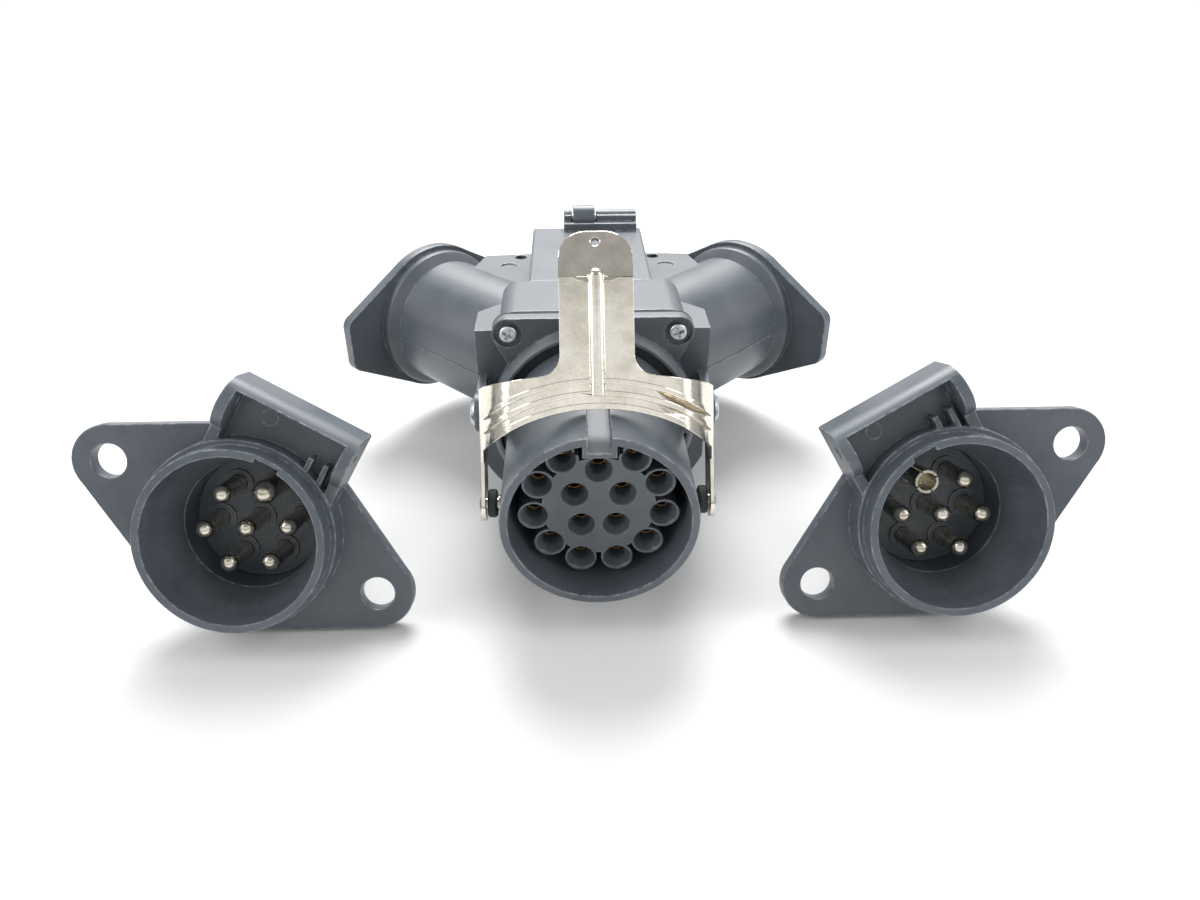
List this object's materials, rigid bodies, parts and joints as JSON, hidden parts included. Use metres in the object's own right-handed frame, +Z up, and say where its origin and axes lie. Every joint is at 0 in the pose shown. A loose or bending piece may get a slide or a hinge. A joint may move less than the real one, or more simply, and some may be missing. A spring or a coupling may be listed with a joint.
{
  "type": "trailer wiring connector",
  "caption": "Trailer wiring connector: round keyed plug with a swinging locking bail on a forked housing with flanged arms, and two loose hooded pin sockets that seat in the arms.",
  "frame": {"origin": "bottom centre of the whole group, on the table", "axes": "+Y runs back from the plug's rim towards the arms, +X to the right seen from the plug, +Z up from the table"},
  "size_m": [0.2692, 0.1714, 0.0982],
  "materials": {
    "black_plastic": "satin moulded black",
    "insert_plastic": "matte dark grey",
    "rubber": "matte black",
    "nickel_plate": "satin nickel plate with wear",
    "zinc_steel": "bright zinc",
    "brass": "drawn",
    "plated_brass": "nickel plated"
  },
  "bodies": {
    "adapter": {"housing": "black_plastic", "centre_block": "black_plastic", "left_arm": "black_plastic", "right_arm": "black_plastic", "plug_shell": "black_plastic", "plug_flange": "black_plastic", "flange_gasket": "rubber", "front_seal": "rubber", "flange_screws": "zinc_steel", "contact_insert": "insert_plastic", "insert_retainer": "zinc_steel", "outer_contacts": "brass", "key_contact": "brass", "inner_contacts": "brass", "left_pivot_pin": "zinc_steel", "right_pivot_pin": "zinc_steel", "lid_hinge_pin": "zinc_steel"},
    "bail": {"bail": "nickel_plate", "left_roller_rivet": "nickel_plate", "right_roller_rivet": "nickel_plate"},
    "left_roller": {"left_roller": "rubber"},
    "right_roller": {"right_roller": "rubber"},
    "lid": {"rear_lid": "black_plastic", "lid_seal": "rubber"},
    "left_socket": {"left_socket_shell": "black_plastic", "left_tail": "black_plastic", "left_pin_block": "insert_plastic", "left_pins": "plated_brass", "left_feed_pin": "plated_brass"},
    "right_socket": {"right_socket_shell": "black_plastic", "right_tail": "black_plastic", "right_pin_block": "insert_plastic", "right_pins": "plated_brass", "right_feed_sleeve": "plated_brass"}
  },
  "joints": [
    {"name": "bail_swing", "type": "hinge", "parent": "adapter", "child": "bail", "pos_m": [0, -0.03632, 0.0455], "axis": [-1, 0, 0], "range_deg": [0, 60]},
    {"name": "left_roller_spin", "type": "hinge", "parent": "bail", "child": "left_roller", "pos_m": [-0.0274, -0.064, 0.03343], "axis": [1, 0, 0], "continuous": true},
    {"name": "right_roller_spin", "type": "hinge", "parent": "bail", "child": "right_roller", "pos_m": [0.0274, -0.064, 0.03343], "axis": [1, 0, 0], "continuous": true},
    {"name": "lid_swing", "type": "hinge", "parent": "adapter", "child": "lid", "pos_m": [0, 0.05868, 0.0716], "axis": [1, 0, 0], "range_deg": [0, 110]},
    {"name": "left_socket_lift", "type": "slide", "parent": "adapter", "child": "left_socket", "axis": [0, 0, 1], "range_m": [0, 0.12]},
    {"name": "right_socket_lift", "type": "slide", "parent": "adapter", "child": "right_socket", "axis": [0, 0, 1], "range_m": [0, 0.12]}
  ]
}
